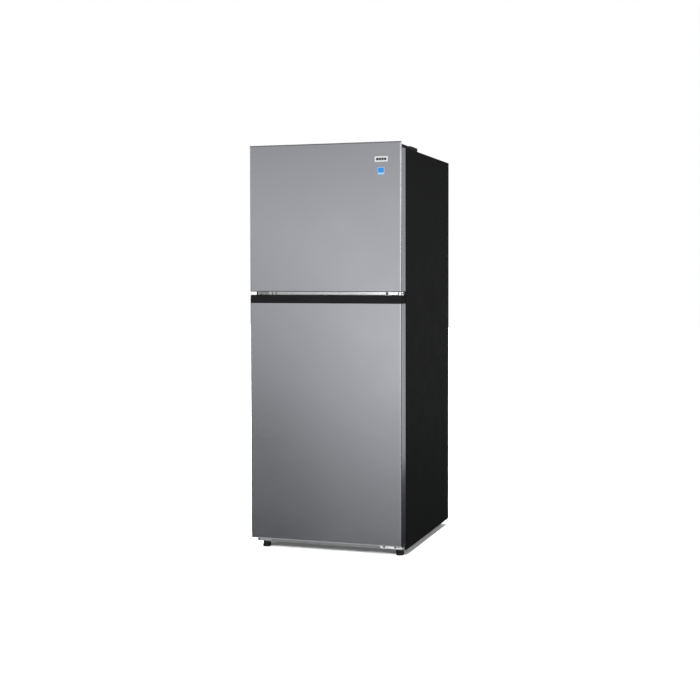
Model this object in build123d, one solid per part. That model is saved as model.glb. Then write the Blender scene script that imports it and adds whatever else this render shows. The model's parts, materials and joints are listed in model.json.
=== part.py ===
from build123d import *
from math import cos, radians, sin
import os

# Top freezer refrigerator, built as an assembly of separate pieces. Millimetres, +Z up, front towards -Y.
# The origin is on the floor at the centre of the refrigerator's outline.

# Driving dimensions of the whole refrigerator
WIDTH = 597.0
DEPTH = 680.0
HEIGHT = 1530.0
BADGE_PROUD = 1.0  # the badge stands this far in front of the doors
DOOR_THICK = 54.0
DOOR_GAP = 7.0  # between a door's inner face and the cabinet's front
DOOR_RISE = 18.0  # the upper door stands this far above the cabinet's top
FOOT_HEIGHT = 24.0
SHEET = 1.0  # steel sheet of cabinet and doors
FLANGE = 30.0  # width of the side panels' front flanges

HALF = WIDTH / 2
DOOR_FRONT = -DEPTH / 2 + BADGE_PROUD
DOOR_BACK = DOOR_FRONT + DOOR_THICK
CAB_FRONT = DOOR_BACK + DOOR_GAP
CAB_TOP = HEIGHT - DOOR_RISE
CAB_BOTTOM = FOOT_HEIGHT
CAB_BACK = 331.0  # outer face of the back panel
INNER_X = HALF - SHEET  # inner face of a side panel
RAIL_FRONT = CAB_FRONT - SHEET  # front of the trims that cover the crossrails
TRIM_X = HALF - 6.0
FIT = 0.1  # gap beside a piece that slips into another
RUN = 0.05  # radial clearance of a pin in its bush
FACE_GAP = 0.3  # gap between pieces that move past each other

# Doors
UPPER_BOTTOM = 983.0
LOWER_TOP = 971.0
LOWER_BOTTOM = 48.0
LIP = 4.0  # visible edge of the upper door's top cap
THIN_LIP = 3.0
GRIP_BAND = 31.0  # black cap on top of the lower door
EDGE_R = 5.0  # rounded front edges of a door
LINER = 2.0
CAP_DEPTH = 24.0
CAP_WALL = 5.0  # plastic between a cap's foam and its outside
BAND_LEAN = 6.0  # the band leans back this far at its top
GRIP_X = (-285.0, -62.0)
GRIP_Y = (-327.0, -297.0)

# Compartments, inside their liners
FRIDGE_X = 253.5
FRIDGE_Z = (84.0, 935.0)
FREEZER_X = 246.5
FREEZER_Z = (1018.0, 1455.0)
FRIDGE_BACK = 285.0
FREEZER_BACK = 255.0
HUMP_Y = 80.0  # the step over the compressor bay starts here
HUMP_Z = 303.0
BAY_TOP = 262.0
BAY_FRONT = 128.0
FOAM_FRONT = CAB_FRONT + LINER

RACK_Z = 1222.0
MULLION_Z = (957.0, 997.0)
BASE_TOP = 62.0
BASE_BACK = -225.0

# Feet and rollers
FEET_X = HALF - 30
FEET_Y = CAB_FRONT + 20
STEM_R = 5.0
ROLLER_X, ROLLER_Y, ROLLER_R = 252.0, 276.0, 11.0
AXLE_R = 3.0

# Hinges
PIVOT_X = HALF - 12.0
PIVOT_Y = -311.0
PIN_R = 4.0
BOSS_R = 6.5
ARM_HALF = 9.5
COVER_HALF = 11.5
HINGE_SHEET = 2.5
PIN_TIP = 22.0  # length of a hinge pin inside a door
RECESS_X = 268.0
RECESS_Z = 1509.0
SCREW_HEAD_R = 5.0
SCREW_R = 2.4

# Door gaskets and the raised frame of each door liner
GASKET_OUT = 283.5
GASKET_W = 15.0
UPPER_GASKET_Z = (998.0, 1506.0)
LOWER_GASKET_Z = (62.0, 956.0)
UPPER_RING = dict(x=236.0, z=(1032.0, 1445.0), depth=40.0)
LOWER_RING = dict(x=242.0, z=(98.0, 923.0), depth=45.0)
RING_W = 22.0
LUG = 8.0

# Door bins: height of the floor, height and depth of each
UPPER_BINS = dict(freezer_bin_lower=(1058.0, 76.0, 92.0), freezer_bin_upper=(1236.0, 70.0, 92.0))
LOWER_BINS = dict(
    door_bin_bottle=(124.0, 122.0, 108.0),
    door_bin_middle=(430.0, 82.0, 100.0),
    door_bin_top=(690.0, 72.0, 92.0),
)
BIN_WALL = 2.4
BIN_BACK_GAP = 2.0

# Shelves and drawer
SHELF_FRONT = -164.0
SHELF_BACK = 276.0
SHELF_Z = (317.0, 512.0, 706.0)  # top of each pane
FRAME_H = 12.0
GLASS = 4.0
LEDGE = 8.0
CRISPER = dict(x=236.0, y=(-158.0, 72.0), z=(86.0, 290.0), wall=2.5)

# Fan
FAN_Z = 1392.0
FAN_R = 44.0


def block(x, y, z):
    return Pos(sum(x) / 2, sum(y) / 2, sum(z) / 2) * Box(x[1] - x[0], y[1] - y[0], z[1] - z[0])


def post(x, y, z, r):
    return Pos(x, y, sum(z) / 2) * Cylinder(r, z[1] - z[0])


def rod_y(x, y, z, r):
    return Pos(x, sum(y) / 2, z) * Rot(X=90) * Cylinder(r, y[1] - y[0])


def rod_x(x, y, z, r):
    return Pos(sum(x) / 2, y, z) * Rot(Y=90) * Cylinder(r, x[1] - x[0])


def mirrored(shape):
    return mirror(shape, Plane.YZ)


def join(pieces):
    whole = pieces[0]
    for piece in pieces[1:]:
        whole += piece
    return whole


def rounded_slab(x, y, z, r):
    """Upright slab whose two front vertical edges are rounded."""
    slab = block(x, y, z)
    edges = slab.edges().filter_by(Axis.Z)
    return fillet([e for e in edges if e.center().Y < sum(y) / 2], r)


def tub_hollow(x, y, z, r):
    """Room inside a liner: every edge rounded except those of its open front."""
    room = block((-x, x), y, z)
    return fillet([e for e in room.edges() if e.center().Y > y[0] + 0.01], r)


def ring(x, z, y, width, r):
    """Rectangular frame round a door or opening, standing up from y[0] to y[1]."""
    tall = z[1] - z[0]
    outline = RectangleRounded(2 * x, tall, r)
    outline -= RectangleRounded(2 * (x - width), tall - 2 * width, max(r - width * 0.5, 1.5))
    frame = extrude(Plane.XZ * outline, amount=y[1] - y[0])
    return Pos(0, y[1], sum(z) / 2) * frame


# ---- Cabinet ----


def side_panel():
    """Right side: one sheet with a flange returned behind the door and one behind the back."""
    web = block((INNER_X, HALF), (CAB_FRONT, CAB_BACK + SHEET), (CAB_BOTTOM, CAB_TOP))
    front = block((HALF - FLANGE, INNER_X), (CAB_FRONT, CAB_FRONT + SHEET), (CAB_BOTTOM, CAB_TOP))
    rear = block((HALF - 12, INNER_X), (CAB_BACK, CAB_BACK + SHEET), (CAB_BOTTOM, CAB_TOP))
    return web + front + rear


FLANGE_X = HALF - FLANGE - FIT  # what stands between the two front flanges ends here
TOP_LIP = 40.0


def top_panel():
    """Top sheet, folded down at the front between the side panels' flanges."""
    half = INNER_X - FIT
    top = block((-half, half), (CAB_FRONT + SHEET + FIT, CAB_BACK - SHEET), (CAB_TOP - SHEET, CAB_TOP))
    front = block((-FLANGE_X, FLANGE_X), (CAB_FRONT, CAB_FRONT + 2 * SHEET), (CAB_TOP - SHEET, CAB_TOP))
    lip = block((-FLANGE_X, FLANGE_X), (CAB_FRONT, CAB_FRONT + SHEET), (CAB_TOP - TOP_LIP, CAB_TOP))
    return top + front + lip


def back_panel():
    """Flat back with three pressed stiffening beads."""
    half = INNER_X - FIT
    panel = block((-half, half), (CAB_BACK - SHEET, CAB_BACK), (BAY_TOP, CAB_TOP))
    for x in (-170, 0, 170):
        bead = block((x - 22, x + 22), (CAB_BACK, CAB_BACK + 2), (BAY_TOP + 120, CAB_TOP - 120))
        bead = fillet(bead.edges().filter_by(Axis.Y), 20)
        panel += chamfer(bead.faces().sort_by(Axis.Y)[-1].edges(), 1.4)
    return panel


def insulation():
    """Foamed walls as butted slabs: sides, back, partition, top and floor."""
    out = INNER_X
    back = CAB_BACK - SHEET
    front = FOAM_FRONT
    top = CAB_TOP - SHEET
    fridge = FRIDGE_X + LINER
    freezer = FREEZER_X + LINER
    low, high = FRIDGE_Z[0] - LINER, FRIDGE_Z[1] + LINER
    floor, ceiling = FREEZER_Z[0] - LINER, FREEZER_Z[1] + LINER
    base = CAB_BOTTOM + 2 + SHEET
    wall = BAY_FRONT - SHEET
    full = (-out, out)
    slabs = [
        block((fridge, out), (front, back), (BAY_TOP, high)),
        block((-out, -fridge), (front, back), (BAY_TOP, high)),
        block((fridge, out), (front, wall), (low, BAY_TOP)),
        block((-out, -fridge), (front, wall), (low, BAY_TOP)),
        block(full, (front, BASE_BACK), (BASE_TOP, low)),
        block(full, (BASE_BACK, wall), (base, low)),
        block((-fridge, fridge), (HUMP_Y + LINER, wall), (low, BAY_TOP)),
        block((-fridge, fridge), (HUMP_Y + LINER, back), (BAY_TOP, HUMP_Z - LINER)),
        block((-fridge, fridge), (FRIDGE_BACK + LINER, back), (HUMP_Z - LINER, high)),
        block(full, (front, back), (high, floor)),
        block((freezer, out), (front, back), (floor, ceiling)),
        block((-out, -freezer), (front, back), (floor, ceiling)),
        block((-freezer, freezer), (FREEZER_BACK + LINER, back), (floor, ceiling)),
        block(full, (front, back), (ceiling, top)),
    ]
    return Compound(children=[slab.solid() for slab in slabs])


def fridge_liner():
    """Lower tub: its floor steps up over the compressor bay, with ledges for the shelves."""
    low, high = FRIDGE_Z
    room = tub_hollow(FRIDGE_X, (CAB_FRONT - 1, HUMP_Y), FRIDGE_Z, 9)
    room += tub_hollow(FRIDGE_X, (HUMP_Y - 20, FRIDGE_BACK), (HUMP_Z, high), 9)
    x = FRIDGE_X + LINER
    tub = block((-x, x), (FOAM_FRONT, HUMP_Y + LINER), (low - LINER, high + LINER))
    tub += block((-x, x), (HUMP_Y, FRIDGE_BACK + LINER), (HUMP_Z - LINER, high + LINER))
    tub += block((-FLANGE_X, FLANGE_X), (CAB_FRONT, FOAM_FRONT), (BASE_TOP, MULLION_Z[0]))
    tub -= room
    for z in SHELF_Z:
        ledge = block((FRIDGE_X - LEDGE, FRIDGE_X + 1), (SHELF_FRONT + 6, SHELF_BACK - 2), (z - 14, z - 8))
        tub += ledge + mirrored(ledge)
    for x in (-150, 150):
        tub += block((x - 5, x + 5), (CRISPER["y"][0], CRISPER["y"][1] - 12), (low - 1, CRISPER["z"][0]))
    return tub


def freezer_liner():
    low, high = FREEZER_Z
    x = FREEZER_X + LINER
    tub = block((-x, x), (FOAM_FRONT, FREEZER_BACK + LINER), (low - LINER, high + LINER))
    tub += block((-FLANGE_X, FLANGE_X), (CAB_FRONT, FOAM_FRONT), (MULLION_Z[1], CAB_TOP - TOP_LIP - FIT))
    tub -= tub_hollow(FREEZER_X, (CAB_FRONT - 1, FREEZER_BACK), FREEZER_Z, 12)
    ledge = block((FREEZER_X - LEDGE, FREEZER_X + 1), (-165, 190), (RACK_Z - 9, RACK_Z - 3))
    return tub + ledge + mirrored(ledge)


def mullion_rail():
    """Front crossrail between the two compartments, with a trim over the side flanges."""
    low, high = MULLION_Z[0] + FIT, MULLION_Z[1] - FIT
    rail = block((-FLANGE_X, FLANGE_X), (RAIL_FRONT, FOAM_FRONT), (low, high))
    return rail + block((-TRIM_X, TRIM_X), (RAIL_FRONT, CAB_FRONT), (low, high))




def base_rail():
    """Front bottom crossrail: a folded channel with two weld nuts for the feet."""
    top = BASE_TOP - FIT
    rail = block((-FLANGE_X, FLANGE_X), (RAIL_FRONT, CAB_FRONT + SHEET), (CAB_BOTTOM, top))
    rail += block((-TRIM_X, TRIM_X), (RAIL_FRONT, CAB_FRONT), (CAB_BOTTOM, top))
    half = INNER_X - FIT
    floor_front = CAB_FRONT + SHEET + FIT
    rail += block((-FLANGE_X, FLANGE_X), (CAB_FRONT, BASE_BACK - FIT), (CAB_BOTTOM, CAB_BOTTOM + 2))
    rail += block((-half, half), (floor_front, BASE_BACK - FIT), (CAB_BOTTOM, CAB_BOTTOM + 2))
    rail += block((-half, half), (BASE_BACK - 2, BASE_BACK - FIT), (CAB_BOTTOM, top))
    for x in (-FEET_X, FEET_X):
        rail += post(x, FEET_Y, (CAB_BOTTOM, CAB_BOTTOM + 10), 9)
        rail -= post(x, FEET_Y, (CAB_BOTTOM - 1, CAB_BOTTOM + 11), STEM_R + RUN)
    return rail


def levelling_foot(side):
    x = side * FEET_X
    foot = post(x, FEET_Y, (0, CAB_BOTTOM - 1), 15)
    foot = fillet(foot.faces().sort_by(Axis.Z)[0].edges(), 2.5)
    for turn in range(12):
        a = radians(30 * turn)
        foot -= post(x + 15.6 * cos(a), FEET_Y + 15.6 * sin(a), (6, CAB_BOTTOM), 1.4)
    stem = post(x, FEET_Y, (CAB_BOTTOM - 1, CAB_BOTTOM + 28), STEM_R)
    return foot + stem


def bottom_panel():
    """One bent sheet under the foam: floor, front wall of the compressor bay and the bay's ceiling."""
    x = INNER_X - FIT
    z = CAB_BOTTOM + 2
    sheet = block((-x, x), (BASE_BACK, BAY_FRONT), (z, z + SHEET))
    sheet += block((-x, x), (BAY_FRONT - SHEET, BAY_FRONT), (z, BAY_TOP))
    sheet += block((-x, x), (BAY_FRONT - SHEET, CAB_BACK - SHEET), (BAY_TOP - SHEET, BAY_TOP))
    return sheet


# ---- Compressor bay ----

COMP_X, COMP_Y = 90.0, 238.0
COMP_R = 62.0
TRAY_FRONT = 150.0
STUB_X = COMP_X + COMP_R + 14
STUB_Z = (90.0, 150.0)
BOLTS = [(COMP_X + sx * 78, COMP_Y + sy * 48) for sx in (-1, 1) for sy in (-1, 1)]


def compressor_tray():
    """Pressed floor of the bay, with ears below it that carry riveted axles for the two rear rollers."""
    x = INNER_X - FIT
    tray = block((-x, x), (TRAY_FRONT, CAB_BACK - SHEET), (CAB_BOTTOM, CAB_BOTTOM + 2))
    tray += block((-x, x), (TRAY_FRONT, TRAY_FRONT + 2), (CAB_BOTTOM, CAB_BOTTOM + 16))
    tray += block((-x, x), (CAB_BACK - 3, CAB_BACK - SHEET), (CAB_BOTTOM, CAB_BOTTOM + 10))
    for middle in (-ROLLER_X, ROLLER_X):
        for offset in (-9, 9):
            ear_x = (middle + offset - 1, middle + offset + 1)
            ear = block(ear_x, (ROLLER_Y - 12, ROLLER_Y + 12), (ROLLER_R - 6, CAB_BOTTOM))
            tray += fillet([e for e in ear.edges().filter_by(Axis.X) if e.center().Z < ROLLER_R], 5)
            tray += rod_x((ear_x[0] - 1.5, ear_x[1] + 1.5), ROLLER_Y, ROLLER_R, AXLE_R + 1.5) & block(
                sorted((middle + offset, middle + 3 * offset)), (ROLLER_Y - 9, ROLLER_Y + 9), (0, CAB_BOTTOM)
            )
        tray += rod_x((middle - 9, middle + 9), ROLLER_Y, ROLLER_R, AXLE_R)
    return tray


def roller(side):
    middle = side * ROLLER_X
    wheel = rod_x((middle - 6.5, middle + 6.5), ROLLER_Y, ROLLER_R, ROLLER_R)
    wheel = fillet(wheel.edges().filter_by(GeomType.CIRCLE), 1.5)
    return wheel - rod_x((middle - 8, middle + 8), ROLLER_Y, ROLLER_R, AXLE_R + RUN)


def compressor():
    """Hermetic compressor: two domed halves, weld flange, foot plate and pipe stubs."""
    low, seam, high = 46.0, 112.0, 188.0
    round_r = 28.0
    with BuildSketch(Plane.XZ) as outline:
        with BuildLine():
            base = Line((0, low), (COMP_R - round_r, low))
            turn = TangentArc(base @ 1, (COMP_R, low + round_r), tangent=(1, 0))
            flank = Polyline(
                turn @ 1, (COMP_R, seam), (COMP_R + 4, seam), (COMP_R + 4, seam + 5), (COMP_R, seam + 5)
            )
            upper = Line(flank @ 1, (COMP_R, high - 48))
            dome = TangentArc(upper @ 1, (COMP_R - 30, high - 6), tangent=(0, 1))
            crown = Line(dome @ 1, (0, high))
            Line(crown @ 1, base @ 0)
        make_face()
    shell = Pos(COMP_X, COMP_Y, 0) * revolve(outline.sketch, Axis.Z, 360)
    plate = block((COMP_X - 92, COMP_X + 92), (COMP_Y - 60, COMP_Y + 60), (39, 42))
    plate = fillet(plate.edges().filter_by(Axis.Z), 18)
    for side in (-1, 1):
        y = sorted((COMP_Y + side * 44, COMP_Y + side * 61))
        plate -= block((COMP_X - 60, COMP_X + 60), y, (38, 43))
    for x, y in BOLTS:
        plate -= post(x, y, (38, 43), 5)
    legs = block((COMP_X - 34, COMP_X + 34), (COMP_Y - 26, COMP_Y + 26), (42, low + 4))
    stubs = [rod_x((COMP_X + COMP_R - 8, STUB_X), COMP_Y, z, 5.5) for z in STUB_Z]
    return shell + plate + legs + stubs


def compressor_grommets():
    """Four rubber feet with their bolts' clearance holes."""
    feet = []
    for x, y in BOLTS:
        foot = post(x, y, (26, 39), 9) + post(x, y, (39, 44), 4.9)
        foot = foot + post(x, y, (42, 46), 8) - post(x, y, (25, 47), 3)
        feet.append(foot.solid())
    return Compound(children=feet)


def relay_box():
    """Start relay housing that hugs the compressor's flank."""
    box = block((-12, 40), (COMP_Y - 26, COMP_Y + 26), (78, 142))
    box = fillet(box.edges().filter_by(Axis.X), 5)
    groove = block((4, 5.5), (COMP_Y - 27, COMP_Y + 27), (77, 143))
    groove -= block((4, 5.5), (COMP_Y - 25, COMP_Y + 25), (79, 141))
    return box - groove - post(COMP_X, COMP_Y, (70, 150), COMP_R + 4 + FIT)


def tube(points, bend, r):
    path = FilletPolyline(*points, radius=bend)
    return sweep(Plane(origin=path @ 0, z_dir=path % 0) * Circle(r), path=path)


def refrigerant_lines():
    """Discharge and suction lines up to the bay's ceiling, and the filter drier on its own short lines."""
    top = BAY_TOP - SHEET - FIT
    y = COMP_Y
    discharge = [(STUB_X, y, 90), (205, y, 90), (205, y, 170), (205, 200, 210), (205, 200, top)]
    suction = [(STUB_X, y, 150), (186, y, 150), (186, y, 214), (160, 190, 230), (160, 190, top)]
    capillary = [(240, 292, 132), (240, 292, 104), (258, 292, 104), (258, 292, top)]
    drier = post(240, 292, (130, 214), 9)
    drier = fillet(drier.edges().filter_by(GeomType.CIRCLE), 5)
    drier += post(240, 292, (212, top), 3) + tube(capillary, 8, 1.6)
    pieces = [tube(discharge, 14, 3.5), tube(suction, 8, 4.5), drier]
    return Compound(children=[piece.solid() for piece in pieces])


PAN_X, PAN_Y, PAN_Z = (-272.0, -52.0), (168.0, 312.0), (26.0, 66.0)


def drain_pan():
    pan = block(PAN_X, PAN_Y, PAN_Z)
    pan = fillet(pan.edges().filter_by(Axis.Z), 16)
    hollow = block((PAN_X[0] + 2.5, PAN_X[1] - 2.5), (PAN_Y[0] + 2.5, PAN_Y[1] - 2.5), (28.5, 70))
    hollow = fillet(hollow.edges().filter_by(Axis.Z), 13.5)
    return pan - hollow


def drain_tube():
    z = (52, BAY_TOP - SHEET - FIT)
    return post(-160, 290, z, 9) - post(-160, 290, (50, BAY_TOP), 7)


COVER_Z = (30.0, 270.0)
GLAND = (-236.0, 62.0)


def rear_cover():
    """Louvred sheet that closes the compressor bay."""
    y = (CAB_BACK + SHEET, CAB_BACK + 2 * SHEET)
    cover = block((-290, 290), y, COVER_Z)
    cover = fillet(cover.edges().filter_by(Axis.Y), 6)
    slots = []
    for x in (-190, -105, 20, 105, 190):
        for row in range(9):
            z = 98 + row * 16
            slot = block((x - 32, x + 32), (y[0] - 1, y[1] + 1), (z - 2.5, z + 2.5))
            slots.append(slot)
    slots.append(rod_y(GLAND[0], (y[0] - 1, y[1] + 1), GLAND[1], 9))
    for x, z in rear_screw_places():
        slots.append(rod_y(x, (y[0] - 1, y[1] + 1), z, SCREW_R + FIT))
    return cover - slots


def rear_screw_places():
    return [(x, z) for x in (-278, 0, 278) for z in (40, 262)]


def cord_gland():
    """Rubber gland where a mains lead enters the bay."""
    y = CAB_BACK + SHEET
    gland = rod_y(GLAND[0], (y - 3, y), GLAND[1], 12)
    gland += rod_y(GLAND[0], (y, y + SHEET), GLAND[1], 9 - FIT)
    gland += rod_y(GLAND[0], (y + SHEET, y + 7), GLAND[1], 12)
    return gland - rod_y(GLAND[0], (y - 5, y + 10), GLAND[1], 4)


def screw(x, y, z, axis, head=2.6, shank=1.0):
    """Pan head screw. axis is the way its head faces: '-Y', '+Y' or '+Z'."""
    body = Pos(0, 0, head / 2) * Cylinder(SCREW_HEAD_R, head)
    body = fillet(body.faces().sort_by(Axis.Z)[-1].edges(), 1.2)
    body -= Pos(0, 0, head) * Box(6, 1.2, 2) + Pos(0, 0, head) * Box(1.2, 6, 2)
    body += Pos(0, 0, -shank / 2) * Cylinder(SCREW_R, shank)
    turn = {"+Z": Rot(), "-Y": Rot(X=90), "+Y": Rot(X=-90)}[axis]
    return (Pos(x, y, z) * turn * body).solid()


def rear_spacers():
    """Two stand-offs that keep the back clear of a wall."""
    blocks = []
    for x in (-230, 230):
        spacer = block((x - 16, x + 16), (CAB_BACK, DEPTH / 2), (1400, 1480))
        spacer = fillet(spacer.edges().filter_by(Axis.Y), 10)
        blocks.append(spacer.solid())
    return Compound(children=blocks)


# ---- Cold air parts inside the freezer ----


def evaporator_cover():
    """Panel at the back of the freezer, with a fan grille and return slots."""
    half = FREEZER_X - FIT
    cover = block((-half, half), (200, 203), (FREEZER_Z[0] + FIT, FREEZER_Z[1] - FIT))
    cover = fillet(cover.edges().filter_by(Axis.Y), 12)
    cover -= rod_y(0, (199, 204), FAN_Z, FAN_R + 1)
    grille = rod_y(0, (200, 202.4), FAN_Z, 13)
    for r in (20.5, 28.5, 36.5):
        grille += rod_y(0, (200, 202.4), FAN_Z, r + 1) - rod_y(0, (199, 204), FAN_Z, r - 1)
    for turn in range(6):
        bar = Pos(0, 201.2, FAN_Z) * Rot(Y=60 * turn) * Pos(29, 0, 0) * Box(36, 2.4, 2.4)
        grille += bar
    cover += grille
    places = [(x, z) for x in range(-190, 191, 38) for z in (1036, 1050)]
    slots = [block((x - 14, x + 14), (199, 204), (z, z + 6)) for x, z in places]
    return cover - slots


def evaporator_coil():
    """Finned coil behind the cover: straight passes joined by return bends."""
    y = 232.0
    rows = [1046 + 30 * i for i in range(9)]
    reach = 205.0
    coil = [rod_x((-reach, reach), y, z, 4) for z in rows]
    for i, z in enumerate(rows[:-1]):
        side = 1 if i % 2 else -1
        bend = Pos(side * reach, y, z + 15) * Rot(X=90) * Torus(15, 4)
        keep = block(sorted((side * reach, side * (reach + 20))), (y - 5, y + 5), (z - 5, z + 35))
        coil.append(bend & keep)
    for n in range(21):
        x = -190 + 19 * n
        is_end = n in (0, 20)
        fin_y = (y - 14, FREEZER_BACK) if is_end else (y - 14, y + 14)
        coil.append(block((x - 0.5, x + 0.5), fin_y, (rows[0] - 12, rows[-1] + 12)))
    return join(coil)


def fan_motor():
    motor = rod_y(0, (219, 247), FAN_Z, 18)
    motor = fillet(motor.faces().sort_by(Axis.Y)[0].edges(), 3)
    for turn in range(3):
        arm = Pos(0, 249, FAN_Z) * Rot(Y=120 * turn + 90) * Pos(26, 0, 0) * Box(40, 4, 8)
        motor += arm
    motor += rod_y(0, (247, 251), FAN_Z, 14)
    for turn in range(3):
        foot = Pos(0, 253, FAN_Z) * Rot(Y=120 * turn + 90) * Pos(42, 0, 0) * Box(8, 4, 8)
        motor += foot
    return motor - rod_y(0, (217, 240), FAN_Z, 2.5 + RUN)


def fan_blade():
    """Five pitched blades on a hub, with the shaft that runs in the motor."""
    hub = rod_y(0, (206, 217), FAN_Z, 12)
    hub = fillet(hub.faces().sort_by(Axis.Y)[0].edges(), 3)
    fan = hub + rod_y(0, (216, 238), FAN_Z, 2.5)
    for turn in range(5):
        blade = Pos(26, 0, 0) * Rot(X=28) * Box(32, 1.6, 22)
        fan += Pos(0, 211.5, FAN_Z) * Rot(Y=72 * turn) * blade
    fan &= rod_y(0, (204, 240), FAN_Z, FAN_R - 2)
    return fan


def freezer_shelf():
    """Coated wire rack: rails across, closely spaced wires along."""
    z = RACK_Z
    x = FREEZER_X - 3
    rack = [rod_x((-x, x), y, z, 3) for y in (-160, 10, 180)]
    rack += [rod_y(side * (x - 3), (-163, 183), z, 3) for side in (-1, 1)]
    count = 25
    for n in range(count):
        place = -(x - 18) + 2 * (x - 18) * n / (count - 1)
        rack.append(rod_y(place, (-166, 186), z + 4, 1.5))
    return join(rack)


# ---- Refrigerator compartment fittings ----


def shelf_frame(z):
    """Moulded frame whose rebate holds a glass pane. z is the top of the pane."""
    half = FRIDGE_X - 1.5
    low = z - 8
    frame = block((-half, half), (SHELF_FRONT, SHELF_BACK), (low, low + FRAME_H))
    frame = fillet(frame.edges().filter_by(Axis.Z), 8)
    frame = fillet([e for e in frame.edges().filter_by(Axis.X) if e.center().Y < SHELF_FRONT + 1], 3.5)
    gap = 24.0
    frame -= block((-half + gap, half - gap), (SHELF_FRONT + gap, SHELF_BACK - gap), (low - 1, z + 9))
    edge = 16.0
    frame -= block((-half + edge, half - edge), (SHELF_FRONT + edge, SHELF_BACK - edge), (z - GLASS, z + 9))
    return frame


def shelf_glass(z):
    half = FRIDGE_X - 1.5
    edge = 16.0 + FACE_GAP
    return block((-half + edge, half - edge), (SHELF_FRONT + edge, SHELF_BACK - edge), (z - GLASS, z))


def crisper_drawer():
    """Clear drawer with drafted corners and a hollow grip along its front rim."""
    x, y, z, wall = CRISPER["x"], CRISPER["y"], CRISPER["z"], CRISPER["wall"]
    box = block((-x, x), y, z)
    box = fillet(box.edges().filter_by(Axis.Z), 14)
    box = fillet(box.faces().sort_by(Axis.Z)[0].edges(), 6)
    hollow = block((-x + wall, x - wall), (y[0] + wall, y[1] - wall), (z[0] + wall, z[1] + 5))
    hollow = fillet(hollow.edges().filter_by(Axis.Z), 14 - wall)
    hollow = fillet(hollow.faces().sort_by(Axis.Z)[0].edges(), 4)
    box -= hollow
    grip = block((-110, 110), (y[0] + wall - 0.5, y[0] + 20), (z[1] - 26, z[1] - 4))
    grip -= block((-107, 107), (y[0], y[0] + 17), (z[1] - 27, z[1] - 7))
    mouth = block((-107, 107), (y[0] - 1, y[0] + wall + 1), (z[1] - 24, z[1] - 7))
    return box + grip - mouth


CONTROL = dict(x=(-125.0, 125.0), y=(-110.0, 70.0), z=(898.0, 935.0))
KNOB = (-70.0, 917.0)


def control_housing():
    """Ceiling box for the thermostat and lamp, open at the top, with a window below the lamp."""
    outer = block(CONTROL["x"], CONTROL["y"], CONTROL["z"])
    outer = fillet(outer.edges().filter_by(Axis.Z), 10)
    outer = fillet([e for e in outer.edges().filter_by(Axis.X) if e.center().Z < 900], 6)
    x, y, z = CONTROL["x"], CONTROL["y"], CONTROL["z"]
    hollow = block((x[0] + 9, x[1] - 9), (y[0] + 9, y[1] - 9), (z[0] + 3, z[1] + 1))
    window = block((-20, 100), (-80, 40), (z[0] - 1, z[0] + 4))
    shaft = rod_y(KNOB[0], (y[0] - 1, y[0] + 12), KNOB[1], 3 + RUN)
    return outer - hollow - window - shaft


def lamp_cover():
    """Diffuser that clips into the housing's window."""
    z = CONTROL["z"][0]
    lens = block((-20 + FIT, 100 - FIT), (-80 + FIT, 40 - FIT), (z - 2, z + 3))
    lens = fillet(lens.edges().filter_by(Axis.Z), 3)
    hollow = block((-17, 97), (-77, 37), (z, z + 4))
    return lens - hollow


def control_knob():
    """Temperature dial with a finger ridge, on a shaft through the housing's front."""
    x, z = KNOB
    front = CONTROL["y"][0]
    dial = rod_y(x, (front - 12, front - FACE_GAP), z, 15)
    dial = fillet(dial.faces().sort_by(Axis.Y)[0].edges(), 1.5)
    ridge = block((x - 3, x + 3), (front - 17, front - 11), (z - 13, z + 13))
    ridge = fillet(ridge.edges().filter_by(Axis.Y), 2.5)
    return dial + ridge + rod_y(x, (front - 1, front + 20), z, 3)


# ---- Hinges ----


def hinge_arm(y_back, z):
    """Flat arm from the cabinet to the pivot, round at its end."""
    arm = block((PIVOT_X - ARM_HALF, PIVOT_X + ARM_HALF), (PIVOT_Y, y_back), z)
    return arm + post(PIVOT_X, PIVOT_Y, z, ARM_HALF)


TOP_SCREWS = [(236, -248), (236, -196), (272, -196)]
MIDDLE_SCREWS = [(226, 977), (252, 987), (252, 967)]
BOTTOM_SCREWS = [(214, 33), (258, 33)]


def top_hinge():
    z = (CAB_TOP, CAB_TOP + HINGE_SHEET)
    plate = block((224, PIVOT_X + ARM_HALF), (-268, -178), z)
    plate = fillet(plate.edges().filter_by(Axis.Z), 8)
    plate += hinge_arm(-250, z)
    plate += post(PIVOT_X, PIVOT_Y, (RECESS_Z - PIN_TIP + 2, CAB_TOP), PIN_R)
    for x, y in TOP_SCREWS:
        plate -= post(x, y, (z[0] - 1, z[1] + 1), SCREW_R + FIT)
    return plate


def top_hinge_cover():
    """Black cap over the upper hinge: low over the door, higher over the cabinet."""
    low, step, high = CAB_TOP, CAB_TOP + 9, CAB_TOP + 13.5
    arm_x = (PIVOT_X - COVER_HALF, PIVOT_X + COVER_HALF)
    arm = block(arm_x, (PIVOT_Y - 4, -262), (low, step))
    nose = post(PIVOT_X, PIVOT_Y - 4, (low, step), COVER_HALF)
    front = block((214, PIVOT_X + 11), (CAB_FRONT + 3, -212), (low, step))
    front = fillet(front.edges().filter_by(Axis.Z), 5)
    rear = block((214, PIVOT_X + 11), (-214, -122), (low, high))
    rear = fillet(rear.edges().filter_by(Axis.Z), 5)
    rear = fillet(rear.faces().sort_by(Axis.Z)[-1].edges(), 3)
    shell = arm + nose + front + rear
    reach = ARM_HALF + FIT
    inside = block((PIVOT_X - reach, PIVOT_X + reach), (PIVOT_Y, -262), (low - 1, step - 2))
    inside += post(PIVOT_X, PIVOT_Y, (low - 1, step - 2), reach)
    inside += block((217, PIVOT_X + reach), (CAB_FRONT + 6, -125), (low - 1, step - 2))
    inside += block((217, PIVOT_X + 8), (-211, -125), (low - 1, high - 2.5))
    return shell - inside


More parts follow.
